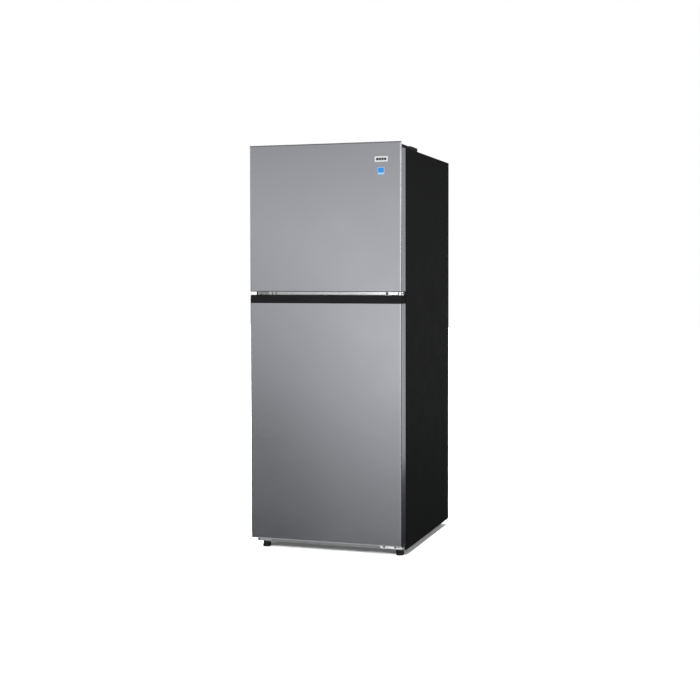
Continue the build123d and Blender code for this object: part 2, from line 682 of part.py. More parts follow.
def middle_hinge():
    """Bracket between the doors: screwed flange, arm, and a pin up and a pin down."""
    z = (975.5, 978.0)
    y = (RAIL_FRONT - HINGE_SHEET, RAIL_FRONT)
    bracket = block((214, PIVOT_X - 2), y, (961, 993))
    bracket = fillet(bracket.edges().filter_by(Axis.Y), 3)
    bracket += block((238, PIVOT_X), (RAIL_FRONT - 15, y[1]), z) + hinge_arm(y[1], z)
    bracket += post(PIVOT_X, PIVOT_Y, (LOWER_TOP + FACE_GAP, UPPER_BOTTOM - FACE_GAP), BOSS_R)
    bracket += post(PIVOT_X, PIVOT_Y, (LOWER_TOP - PIN_TIP + 2, UPPER_BOTTOM + PIN_TIP - 2), PIN_R)
    for x, place in MIDDLE_SCREWS:
        bracket -= rod_y(x, (y[0] - 1, y[1] + 1), place, SCREW_R + FIT)
    return bracket


def bottom_hinge():
    """Bracket under the lower door that carries its weight."""
    z = (40, 42.5)
    y = (RAIL_FRONT - HINGE_SHEET, RAIL_FRONT)
    bracket = block((198, PIVOT_X - 2), y, (26, 42.5))
    bracket = fillet([e for e in bracket.edges().filter_by(Axis.Y) if e.center().Z < 30], 3)
    bracket += block((198, PIVOT_X), (RAIL_FRONT - 14, y[1]), z) + hinge_arm(y[1], z)
    bracket += post(PIVOT_X, PIVOT_Y, (z[1], LOWER_BOTTOM - FACE_GAP), BOSS_R)
    bracket += post(PIVOT_X, PIVOT_Y, (z[1], LOWER_BOTTOM + PIN_TIP - 2), PIN_R)
    for x, place in BOTTOM_SCREWS:
        bracket -= rod_y(x, (y[0] - 1, y[1] + 1), place, SCREW_R + FIT)
    return bracket


def cabinet_screws():
    """Every screw that holds a hinge or the rear cover."""
    top = CAB_TOP + HINGE_SHEET
    front = RAIL_FRONT - HINGE_SHEET
    rear = CAB_BACK + 2 * SHEET
    screws = [screw(x, y, top, "+Z", shank=HINGE_SHEET) for x, y in TOP_SCREWS]
    for x, z in MIDDLE_SCREWS + BOTTOM_SCREWS:
        screws.append(screw(x, front, z, "-Y", head=2.2, shank=HINGE_SHEET))
    screws += [screw(x, rear, z, "+Y") for x, z in rear_screw_places()]
    return Compound(children=screws)


def hinge_hole_covers():
    """Caps over the unused hinge holes on the left: two strips and five round plugs."""
    covers = []
    for x, z in (((-290, -246), (964, 990)), ((-286, -240), (28, 42))):
        strip = block(x, (RAIL_FRONT - 1.5, RAIL_FRONT), z)
        covers.append(fillet(strip.edges().filter_by(Axis.Y), 3).solid())
    for x in (-232, -218):
        plug = rod_y(x, (RAIL_FRONT - 1.5, RAIL_FRONT), 977, 4)
        covers.append(fillet(plug.faces().sort_by(Axis.Y)[0].edges(), 1).solid())
    for x, y in TOP_SCREWS:
        plug = post(-x, y, (CAB_TOP, CAB_TOP + 2), 5)
        covers.append(fillet(plug.faces().sort_by(Axis.Z)[-1].edges(), 1.2).solid())
    return Compound(children=covers)


# ---- Doors ----


def door_skin(z):
    """Wrapped sheet: front, two sides and narrow flanges behind."""
    outer = rounded_slab((-HALF, HALF), (DOOR_FRONT, DOOR_BACK), z, EDGE_R)
    inner = rounded_slab((-INNER_X, INNER_X), (DOOR_FRONT + SHEET, DOOR_BACK + 1), z, EDGE_R - SHEET)
    lip = block((INNER_X - 8, INNER_X), (DOOR_BACK - SHEET, DOOR_BACK), z)
    return outer - inner + lip + mirrored(lip)


def core(z, back=DOOR_BACK - LINER, gap=0.0):
    """What fills a door's skin over the height z."""
    half = INNER_X - gap
    return rounded_slab((-half, half), (DOOR_FRONT + SHEET + gap, back), z, EDGE_R - SHEET - gap)


def corner_recess():
    """Room in the top of the upper door for the hinge arm, open to the side and the back."""
    return block((RECESS_X, HALF + 1), (DOOR_FRONT + 5, DOOR_BACK + 1), (RECESS_Z, HEIGHT + 1))


def upper_door_skin():
    skin = door_skin((UPPER_BOTTOM + THIN_LIP, HEIGHT - LIP))
    return skin - corner_recess() - mirrored(corner_recess())


def lower_door_skin():
    return door_skin((LOWER_BOTTOM + THIN_LIP, LOWER_TOP - GRIP_BAND))


def pin_hole(z):
    return post(PIVOT_X, PIVOT_Y, z, PIN_R + RUN)


def finger_pocket(z):
    return fillet(block(GRIP_X, GRIP_Y, z).edges().filter_by(Axis.Z), 8)


def cap_filling(x, z, setback=CAP_WALL):
    """The part of a door's foam that stands up into an end cap."""
    return block(x, (DOOR_FRONT + setback, DOOR_BACK - LINER), z)


WIDE = (-258.0, 258.0)
BESIDE_GRIP = (-50.0, 258.0)
UPPER_FOAM = (UPPER_BOTTOM + CAP_DEPTH + 3, RECESS_Z - CAP_DEPTH)
LOWER_FOAM = (LOWER_BOTTOM + CAP_DEPTH, LOWER_TOP - GRIP_BAND - 15)


def upper_foam_ends():
    top = cap_filling(WIDE, (UPPER_FOAM[1], HEIGHT - LIP - 2))
    return top, cap_filling(BESIDE_GRIP, (UPPER_BOTTOM + CAP_WALL, UPPER_FOAM[0]))


def lower_foam_ends():
    top = cap_filling(BESIDE_GRIP, (LOWER_FOAM[1], LOWER_TOP - CAP_WALL), BAND_LEAN + CAP_WALL)
    return top, cap_filling(WIDE, (LOWER_BOTTOM + CAP_WALL, LOWER_FOAM[0]))


def cap_lid(z):
    return rounded_slab((-HALF, HALF), (DOOR_FRONT, DOOR_BACK), z, EDGE_R)


def upper_top_cap():
    """Top of the upper door, lowered at both corners for the hinge arm."""
    cap = cap_lid((HEIGHT - LIP, HEIGHT))
    cap = fillet([e for e in cap.edges().filter_by(Axis.X) if e.center().Z > HEIGHT - 1], 1)
    cap += core((UPPER_FOAM[1], HEIGHT - LIP), gap=FIT)
    cap -= corner_recess() + mirrored(corner_recess()) + upper_foam_ends()[0]
    return cap - pin_hole((RECESS_Z - PIN_TIP, RECESS_Z + 1))


def upper_bottom_cap():
    """Bottom of the upper door, with a finger pocket behind its front edge."""
    cap = cap_lid((UPPER_BOTTOM, UPPER_BOTTOM + THIN_LIP))
    cap += core((UPPER_BOTTOM + THIN_LIP, UPPER_FOAM[0]), gap=FIT)
    cap -= finger_pocket((UPPER_BOTTOM - 1, UPPER_BOTTOM + 22)) + upper_foam_ends()[1]
    return cap - pin_hole((UPPER_BOTTOM - 1, UPPER_BOTTOM + PIN_TIP))


def lower_top_cap():
    """Band on top of the lower door, leaning back, with the finger pocket that opens it."""
    low = LOWER_TOP - GRIP_BAND
    band = cap_lid((low, LOWER_TOP))
    wedge = [(DOOR_FRONT, low), (DOOR_FRONT + BAND_LEAN, LOWER_TOP), (DOOR_FRONT, LOWER_TOP)]
    band -= extrude(Plane.YZ * make_face(Polyline(*wedge, close=True)), amount=HALF + 1, both=True)
    band = fillet([e for e in band.edges().filter_by(Axis.X) if e.center().Z > LOWER_TOP - 1], 2)
    cap = band + core((LOWER_FOAM[1], low), gap=FIT)
    cap -= block((-290, 290), (DOOR_BACK - LINER, DOOR_BACK + 1), (low - 1, LOWER_TOP - 9))
    cap -= finger_pocket((LOWER_TOP - 24, LOWER_TOP + 1)) + lower_foam_ends()[0]
    return cap - pin_hole((LOWER_TOP - PIN_TIP, LOWER_TOP + 1))


def lower_bottom_cap():
    cap = cap_lid((LOWER_BOTTOM, LOWER_BOTTOM + THIN_LIP))
    cap += core((LOWER_BOTTOM + THIN_LIP, LOWER_FOAM[0]), gap=FIT)
    cap -= lower_foam_ends()[1]
    return cap - pin_hole((LOWER_BOTTOM - 1, LOWER_BOTTOM + PIN_TIP))


def door_liner(frame, z, bins):
    """Inner face of a door with a raised frame, and lugs on it that the bins hang from."""
    plate = block((-INNER_X + 8 + FIT, INNER_X - 8 - FIT), (DOOR_BACK - LINER, DOOR_BACK), z)
    rib = ring(frame["x"], frame["z"], (DOOR_BACK - 0.5, DOOR_BACK + frame["depth"]), RING_W, 16)
    rear = [e for e in rib.edges() if e.center().Y > DOOR_BACK + frame["depth"] - 0.01]
    rib = fillet(rear, 4)
    liner = plate + rib - corner_recess() - mirrored(corner_recess())
    side = frame["x"] - RING_W
    for floor, tall, deep in bins.values():
        top = floor + tall - 16
        lug = block((side - LUG, side + 2), (DOOR_BACK + 8, DOOR_BACK + 34), (top - 18, top))
        liner += lug + mirrored(lug)
    return liner


def door_foam(z, ends):
    """Foam between the skin and the liner of a door."""
    foam = core(z)
    for end in ends:
        foam += end
    return foam


def gasket(z):
    """Magnetic seal, a soft frame just clear of the cabinet's front."""
    face = (DOOR_BACK, CAB_FRONT - FACE_GAP)
    return ring(GASKET_OUT, z, face, GASKET_W, 6)


def door_bin(frame, size):
    """Open bin with rounded front corners and a hook on each side."""
    floor, tall, deep = size
    half = frame["x"] - RING_W - LUG - 1
    back = DOOR_BACK + BIN_BACK_GAP
    z = (floor, floor + tall)
    box = block((-half, half), (back, back + deep), z)
    box = fillet([e for e in box.edges().filter_by(Axis.Z) if e.center().Y > back + 1], 22)
    box = fillet(box.faces().sort_by(Axis.Z)[0].edges(), 4)
    wall = BIN_WALL
    inner = block((-half + wall, half - wall), (back + wall, back + deep - wall), (floor + wall, z[1] + 5))
    inner = fillet([e for e in inner.edges().filter_by(Axis.Z) if e.center().Y > back + wall + 1], 22 - wall)
    box -= inner
    hook_z = (z[1] - 16 + FACE_GAP, z[1] - 6)
    hook = block((half - 0.5, half + LUG), (DOOR_BACK + 8, DOOR_BACK + 34), hook_z)
    return box + hook + mirrored(hook)


def badge():
    plate = block((198, 248), (DOOR_FRONT - BADGE_PROUD, DOOR_FRONT), (1457, 1477))
    return fillet(plate.edges().filter_by(Axis.Y), 2.5)


def rating_label():
    label = block((209, 235), (DOOR_FRONT - 0.3, DOOR_FRONT), (1411, 1437))
    return fillet(label.edges().filter_by(Axis.Y), 1.5)


def door_parts(name, skin, caps, foam, frame, plate_z, gasket_z, bins):
    parts = {
        f"{name}_door_skin": skin,
        f"{name}_door_top_cap": caps[0],
        f"{name}_door_bottom_cap": caps[1],
        f"{name}_door_insulation": foam,
        f"{name}_door_liner": door_liner(frame, plate_z, bins),
        f"{name}_door_gasket": gasket(gasket_z),
    }
    for bin_name, size in bins.items():
        parts[bin_name] = door_bin(frame, size)
    return parts


def all_parts():
    parts = {
        "side_panel_right": side_panel(),
        "side_panel_left": mirrored(side_panel()),
        "top_panel": top_panel(),
        "back_panel": back_panel(),
        "bottom_panel": bottom_panel(),
        "cabinet_insulation": insulation(),
        "fridge_liner": fridge_liner(),
        "freezer_liner": freezer_liner(),
        "mullion_rail": mullion_rail(),
        "base_rail": base_rail(),
        "foot_left": levelling_foot(-1),
        "foot_right": levelling_foot(1),
        "compressor_tray": compressor_tray(),
        "roller_left": roller(-1),
        "roller_right": roller(1),
        "compressor": compressor(),
        "compressor_grommets": compressor_grommets(),
        "relay_box": relay_box(),
        "refrigerant_lines": refrigerant_lines(),
        "drain_pan": drain_pan(),
        "drain_tube": drain_tube(),
        "rear_cover": rear_cover(),
        "rear_spacers": rear_spacers(),
        "cord_gland": cord_gland(),
        "cabinet_screws": cabinet_screws(),
        "evaporator_cover": evaporator_cover(),
        "evaporator_coil": evaporator_coil(),
        "fan_motor": fan_motor(),
        "fan_blade": fan_blade(),
        "freezer_shelf": freezer_shelf(),
        "shelf_frames": Compound(children=[shelf_frame(z).solid() for z in SHELF_Z]),
        "shelf_glass": Compound(children=[shelf_glass(z).solid() for z in SHELF_Z]),
        "crisper_drawer": crisper_drawer(),
        "control_housing": control_housing(),
        "control_knob": control_knob(),
        "lamp_cover": lamp_cover(),
        "top_hinge": top_hinge(),
        "top_hinge_cover": top_hinge_cover(),
        "middle_hinge": middle_hinge(),
        "bottom_hinge": bottom_hinge(),
        "hinge_hole_covers": hinge_hole_covers(),
        "door_badge": badge(),
        "rating_label": rating_label(),
    }
    parts |= door_parts(
        "freezer",
        upper_door_skin(),
        (upper_top_cap(), upper_bottom_cap()),
        door_foam(UPPER_FOAM, upper_foam_ends()),
        UPPER_RING,
        (UPPER_BOTTOM + THIN_LIP, HEIGHT - LIP),
        UPPER_GASKET_Z,
        UPPER_BINS,
    )
    parts |= door_parts(
        "fridge",
        lower_door_skin(),
        (lower_top_cap(), lower_bottom_cap()),
        door_foam(LOWER_FOAM, lower_foam_ends()),
        LOWER_RING,
        (LOWER_BOTTOM + THIN_LIP, LOWER_TOP - 9),
        LOWER_GASKET_Z,
        LOWER_BINS,
    )
    return parts


os.makedirs("parts", exist_ok=True)
for name, shape in all_parts().items():
    export_step(shape, f"parts/{name}.step")
    print(name, round(shape.volume / 1000, 1), "cm3")
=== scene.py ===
import json
import math

import bmesh
import bpy
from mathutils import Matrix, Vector


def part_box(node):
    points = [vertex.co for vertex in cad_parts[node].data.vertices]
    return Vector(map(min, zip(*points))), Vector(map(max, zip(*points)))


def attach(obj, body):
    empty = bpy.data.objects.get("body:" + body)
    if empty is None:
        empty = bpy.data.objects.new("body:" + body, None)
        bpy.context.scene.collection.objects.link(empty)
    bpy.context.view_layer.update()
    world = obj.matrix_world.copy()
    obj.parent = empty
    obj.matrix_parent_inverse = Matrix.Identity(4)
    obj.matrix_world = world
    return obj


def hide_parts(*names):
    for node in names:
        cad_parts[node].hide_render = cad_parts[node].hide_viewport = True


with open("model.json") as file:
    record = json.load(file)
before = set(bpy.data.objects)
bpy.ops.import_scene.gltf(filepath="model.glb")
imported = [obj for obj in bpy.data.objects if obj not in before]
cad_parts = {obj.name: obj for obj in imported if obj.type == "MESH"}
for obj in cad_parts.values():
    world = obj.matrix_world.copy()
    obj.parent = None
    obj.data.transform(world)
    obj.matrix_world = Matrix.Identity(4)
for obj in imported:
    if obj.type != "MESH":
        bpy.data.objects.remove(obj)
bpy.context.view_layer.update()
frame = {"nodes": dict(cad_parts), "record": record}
nodes = frame["nodes"]
print("frame loaded:", len(nodes), "nodes")

studio = {
    "eye": (1.5641, -4.4341, 1.0304),
    "turn": 16.258,  # degrees to the left of straight back
    "dip": 2.087,    # degrees below level
    "lens": 60.614,
    "sensor": 36,
    "shift": (-0.10, -0.04),
    "floorSize": 40.0,
    "floorColor": (0.86, 0.86, 0.86, 1),
    "floorRough": 0.9,
    "floorShine": 0.1,
    "floorGlow": 0.03,
    "skyTint": 1.01,   # blue against red and green
    "paperGlow": 0.9,  # least brightness of the pale floor, seen in reflections
}

# place, what it points at, width, height and watts
softboxes = {
    "keyBox": ((0.2, -2.8, 4.4), (0, -0.2, 0.9), 3.2, 2.4, 130),
    "sideBox": ((3.4, -4.0, 2.6), (0, 0, 0.9), 4.0, 4.0, 50),
    "fillBox": ((-4.4, -1.6, 2.6), (0, 0, 0.9), 2.6, 2.6, 18),
    "rearBox": ((-2.8, 3.6, 3.0), (0, 0, 0.8), 2.4, 2.4, 115),
    "rightBox": ((4.4, 1.5, 2.6), (0, 0, 0.8), 2.4, 2.4, 48),
    "gapBox": ((0.6, -4.0, 0.985), (0.1, 0, 0.98), 3.0, 0.8, 22),
    "edgeBox": ((1.6, 3.4, 1.0), (0.3, -0.3, 0.8), 1.2, 2.6, 4),
}
# two of them light only these nodes: the gap between the doors, and the doors' steel edges
boxReach = {
    "gapBox": ("mullion_rail", "middle_hinge", "hinge_hole_covers"),
    "edgeBox": ("freezer_door_skin", "fridge_door_skin"),
}

# strength, softness in degrees and degrees above the floor, then what each lights: the floor or
# not, and these nodes (the low one reaches under the door, the level one reaches the base rail)
suns = {
    "floorSun": (7.0, 36, 90, True, ()),
    "lowSun": (8.0, 13, 29, True, ("fridge_door_bottom_cap",)),
    "railSun": (2.8, 10, 4, False, ("base_rail", "bottom_hinge")),
}

# height of a direction (-1 down, 1 up), then brightness to the left and right of the front
skyStops = [
    (-1.0, 0.50, 0.50),
    (-0.52, 0.42, 0.50),
    (-0.40, 0.0, 0.0),
    (-0.26, 0.0, 0.02),
    (-0.16, 0.03, 0.62),
    (-0.06, 0.34, 1.30),
    (0.01, 0.70, 1.10),
    (0.08, 0.72, 0.62),
    (0.16, 0.20, 0.28),
    (0.45, 0.35, 0.35),
    (1.0, 0.7, 0.7),
]
skySides = {
    "left": -0.42,
    "right": -0.27,
    "front": -0.55,
    "back": 0.05,
    "behind": 0.10,  # how bright the far side is against the front
    "paperBelow": -0.55,
    "paperAbove": -0.45,
}


def placeCamera():
    data = bpy.data.cameras.new("studioCamera")
    data.lens = studio["lens"]
    data.sensor_width = studio["sensor"]
    data.shift_x, data.shift_y = studio["shift"]
    camera = bpy.data.objects.new("studioCamera", data)
    camera.location = studio["eye"]
    camera.rotation_euler = (math.radians(90 - studio["dip"]), 0, math.radians(studio["turn"]))
    bpy.context.scene.collection.objects.link(camera)
    bpy.context.scene.camera = camera


def onlyFor(name, pieces):
    group = bpy.data.collections.new(name)
    for piece in pieces:
        group.objects.link(piece)
    return group


def softbox(name, place, aim, width, height, watts):
    data = bpy.data.lights.new(name, "AREA")
    data.shape = "RECTANGLE"
    data.size, data.size_y = width, height
    data.energy = watts
    lamp = bpy.data.objects.new(name, data)
    lamp.location = place
    lamp.rotation_euler = (Vector(aim) - Vector(place)).to_track_quat("-Z", "Y").to_euler()
    lamp.visible_camera = False
    bpy.context.scene.collection.objects.link(lamp)
    return lamp


def skyRamp(tree, height, column):
    ramp = tree.nodes.new("ShaderNodeValToRGB")
    ramp.color_ramp.interpolation = "EASE"
    stops = ramp.color_ramp.elements
    while len(stops) < len(skyStops):
        stops.new(0.5)
    for stop, row in zip(stops, skyStops):
        stop.position = (row[0] + 1) / 2
        glow = row[column]
        stop.color = (glow, glow, glow * studio["skyTint"], 1)
    tree.links.new(height, ramp.inputs["Fac"])
    return ramp.outputs["Color"]


def skyStep(tree, source, low, high, start=0.0, end=1.0):
    step = tree.nodes.new("ShaderNodeMapRange")
    step.interpolation_type = "SMOOTHSTEP"
    for socket, value in zip(("From Min", "From Max", "To Min", "To Max"), (low, high, start, end)):
        step.inputs[socket].default_value = value
    tree.links.new(source, step.inputs["Value"])
    return step.outputs[0]


def paintSky():
    world = bpy.data.worlds.new("studioWorld")
    bpy.context.scene.world = world
    world.use_nodes = True
    tree = world.node_tree
    tree.nodes.clear()
    add = tree.nodes.new
    link = tree.links.new
    coords = add("ShaderNodeTexCoord")
    split = add("ShaderNodeSeparateXYZ")
    link(coords.outputs["Generated"], split.inputs[0])
    height = skyStep(tree, split.outputs["Z"], -1, 1)
    height.node.interpolation_type = "LINEAR"
    room = add("ShaderNodeMix")
    room.data_type = "RGBA"
    across = skyStep(tree, split.outputs["X"], skySides["left"], skySides["right"])
    link(across, room.inputs["Factor"])
    link(skyRamp(tree, height, 1), room.inputs["A"])
    link(skyRamp(tree, height, 2), room.inputs["B"])
    depth = skyStep(tree, split.outputs["Y"], skySides["front"], skySides["back"],
                    1, skySides["behind"])
    # the pale floor shows all round, behind the object too
    paper = skyStep(tree, split.outputs["Z"], skySides["paperBelow"], skySides["paperAbove"],
                    studio["paperGlow"], 0)
    most = add("ShaderNodeMath")
    most.operation = "MAXIMUM"
    link(depth, most.inputs[0])
    link(paper, most.inputs[1])
    light = add("ShaderNodeBackground")
    link(room.outputs["Result"], light.inputs["Color"])
    link(most.outputs[0], light.inputs["Strength"])
    page = add("ShaderNodeBackground")
    page.inputs["Color"].default_value = (1, 1, 1, 1)
    ray = add("ShaderNodeLightPath")
    blend = add("ShaderNodeMixShader")
    link(ray.outputs["Is Camera Ray"], blend.inputs["Fac"])
    link(light.outputs[0], blend.inputs[1])
    link(page.outputs[0], blend.inputs[2])
    out = add("ShaderNodeOutputWorld")
    link(blend.outputs[0], out.inputs["Surface"])


def layFloor():
    bpy.ops.mesh.primitive_plane_add(size=studio["floorSize"], location=(0, 0, 0))
    floor = bpy.context.object
    floor.name = "studioFloor"
    finish = bpy.data.materials.new("floorPaper")
    finish.use_nodes = True
    shader = finish.node_tree.nodes["Principled BSDF"]
    shader.inputs["Base Color"].default_value = studio["floorColor"]
    shader.inputs["Roughness"].default_value = studio["floorRough"]
    shader.inputs["Specular IOR Level"].default_value = studio["floorShine"]
    shader.inputs["Emission Color"].default_value = (1, 1, 1, 1)
    shader.inputs["Emission Strength"].default_value = studio["floorGlow"]
    floor.data.materials.append(finish)
    floor.visible_glossy = False
    floor.visible_diffuse = False
    return floor


def sunLamp(name, strength, softness, height, receivers):
    data = bpy.data.lights.new(name, "SUN")
    data.energy = strength
    data.angle = math.radians(softness)
    sun = bpy.data.objects.new(name, data)
    sun.rotation_euler = (math.radians(90 - height), 0, 0)
    sun.light_linking.receiver_collection = onlyFor(name + "Only", receivers)
    bpy.context.scene.collection.objects.link(sun)


placeCamera()
for name, (place, aim, width, height, watts) in softboxes.items():
    lamp = softbox(name, place, aim, width, height, watts)
    if name in boxReach:
        lit = [nodes[node] for node in boxReach[name]]
        lamp.light_linking.receiver_collection = onlyFor(name + "Only", lit)
paintSky()
floor = layFloor()
for name, (strength, softness, height, onFloor, lit) in suns.items():
    receivers = [floor] * onFloor + [nodes[node] for node in lit]
    sunLamp(name, strength, softness, height, receivers)
settings = bpy.context.scene.view_settings
settings.view_transform = "Standard"
settings.look = "None"
print("studio ready")


def newFinish(name, color, rough, metal=0.0):
    finish = bpy.data.materials.new(name)
    finish.use_nodes = True
    shader = finish.node_tree.nodes["Principled BSDF"]
    shader.inputs["Base Color"].default_value = (*color, 1)
    shader.inputs["Roughness"].default_value = rough
    shader.inputs["Metallic"].default_value = metal
    return finish, shader


def placeOn(finish, stretch=(1, 1, 1)):
    tree = finish.node_tree
    coords = tree.nodes.new("ShaderNodeTexCoord")
    mapping = tree.nodes.new("ShaderNodeMapping")
    mapping.inputs["Scale"].default_value = stretch
    tree.links.new(coords.outputs["Object"], mapping.inputs["Vector"])
    return mapping.outputs["Vector"]


def grainOf(finish, scale, detail=4.0, stretch=(1, 1, 1), rough=0.55):
    tree = finish.node_tree
    noise = tree.nodes.new("ShaderNodeTexNoise")
    noise.inputs["Scale"].default_value = scale
    noise.inputs["Detail"].default_value = detail
    noise.inputs["Roughness"].default_value = rough
    tree.links.new(placeOn(finish, stretch), noise.inputs["Vector"])
    return noise.outputs["Fac"]


def spread(finish, source, low, high, fromLow=0.3, fromHigh=0.7):
    tree = finish.node_tree
    span = tree.nodes.new("ShaderNodeMapRange")
    span.inputs["From Min"].default_value = fromLow
    span.inputs["From Max"].default_value = fromHigh
    span.inputs["To Min"].default_value = low
    span.inputs["To Max"].default_value = high
    tree.links.new(source, span.inputs["Value"])
    return span.outputs[0]


def tintBy(finish, shader, source, colorA, colorB, fromLow=0.35, fromHigh=0.65):
    tree = finish.node_tree
    ramp = tree.nodes.new("ShaderNodeValToRGB")
    ramp.color_ramp.elements[0].position = fromLow
    ramp.color_ramp.elements[0].color = (*colorA, 1)
    ramp.color_ramp.elements[1].position = fromHigh
    ramp.color_ramp.elements[1].color = (*colorB, 1)
    tree.links.new(source, ramp.inputs["Fac"])
    tree.links.new(ramp.outputs["Color"], shader.inputs["Base Color"])


def raiseBy(finish, shader, layers):
    # each layer is a pattern, its strength and its height in metres
    tree = finish.node_tree
    normal = None
    for source, strength, distance in layers:
        bump = tree.nodes.new("ShaderNodeBump")
        bump.inputs["Strength"].default_value = strength
        bump.inputs["Distance"].default_value = distance
        tree.links.new(source, bump.inputs["Height"])
        if normal:
            tree.links.new(normal, bump.inputs["Normal"])
        normal = bump.outputs["Normal"]
    tree.links.new(normal, shader.inputs["Normal"])


def setRough(finish, shader, source, low, high):
    finish.node_tree.links.new(spread(finish, source, low, high), shader.inputs["Roughness"])


def addUp(finish, first, second):
    tree = finish.node_tree
    both = tree.nodes.new("ShaderNodeMath")
    both.operation = "ADD"
    tree.links.new(first, both.inputs[0])
    tree.links.new(second, both.inputs[1])
    return both.outputs[0]


def shade(color, factor):
    return tuple(min(1.0, part * factor) for part in color)


def paintedSheet(name, color, rough, texture=420, depth=0.0003, strength=0.25, metal=0.0,
                 shine=0.5):
    finish, shader = newFinish(name, color, rough, metal)
    broad = grainOf(finish, 2.2, 4)
    tintBy(finish, shader, broad, shade(color, 0.92), shade(color, 1.08))
    wear = addUp(finish, spread(finish, grainOf(finish, 9, 6), rough - 0.04, rough + 0.05),
                 spread(finish, grainOf(finish, 70, 4), -0.02, 0.02))
    finish.node_tree.links.new(wear, shader.inputs["Roughness"])
    raiseBy(finish, shader, [(grainOf(finish, texture, 3), strength, depth), (broad, 0.03, 0.002)])
    shader.inputs["Specular IOR Level"].default_value = shine
    return finish


def mouldedPlastic(name, color, rough, texture=900, strength=0.12, depth=0.00015, mottle=0.06,
                   shine=0.5):
    finish, shader = newFinish(name, color, rough)
    tintBy(finish, shader, grainOf(finish, 6.0, 4),
           shade(color, 1 - mottle), shade(color, 1 + mottle))
    setRough(finish, shader, grainOf(finish, 26, 6), rough - 0.05, rough + 0.07)
    raiseBy(finish, shader, [(grainOf(finish, texture, 2), strength, depth)])
    shader.inputs["Specular IOR Level"].default_value = shine
    return finish


def linerPlastic(name, color, rough):
    # vacuum-formed sheet: glossy, with slow waves from the mould and the foam behind
    finish, shader = newFinish(name, color, rough)
    waves = grainOf(finish, 7.0, 2)
    tintBy(finish, shader, grainOf(finish, 2.5, 2), shade(color, 0.98), shade(color, 1.015))
    setRough(finish, shader, grainOf(finish, 5, 2), rough - 0.025, rough + 0.03)
    raiseBy(finish, shader, [(waves, 0.06, 0.003)])
    return finish


def brushedSheet(name, color, rough, lines=(1.1, 1.1, 300), strength=0.08, smudge=0.03, tone=0.05):
    finish, shader = newFinish(name, color, rough, 1.0)
    grain = grainOf(finish, 6.0, 6, lines, 0.7)
    broad = grainOf(finish, 2.2, 3)
    tintBy(finish, shader, grain, shade(color, 1 - tone), shade(color, 1 + tone), 0.3, 0.7)
    worn = addUp(finish, spread(finish, grain, rough - 0.03, rough + 0.03),
                 spread(finish, broad, -smudge, smudge))
    finish.node_tree.links.new(worn, shader.inputs["Roughness"])
    raiseBy(finish, shader, [(grain, strength, 0.0002)])
    return finish


def glowing(finish, color, strength):
    shader = finish.node_tree.nodes["Principled BSDF"]
    shader.inputs["Emission Color"].default_value = (*color, 1)
    shader.inputs["Emission Strength"].default_value = strength
    return finish


def seeThrough(name, color, rough, clear, texture=40, ior=1.45):
    finish, shader = newFinish(name, color, rough)
    shader.inputs["Transmission Weight"].default_value = clear
    shader.inputs["IOR"].default_value = ior
    tintBy(finish, shader, grainOf(finish, 5, 3), shade(color, 0.97), shade(color, 1.03))
    setRough(finish, shader, grainOf(finish, texture, 5), rough * 0.7, rough * 1.6)
    raiseBy(finish, shader, [(grainOf(finish, texture * 0.4, 3), 0.04, 0.001)])
    return finish


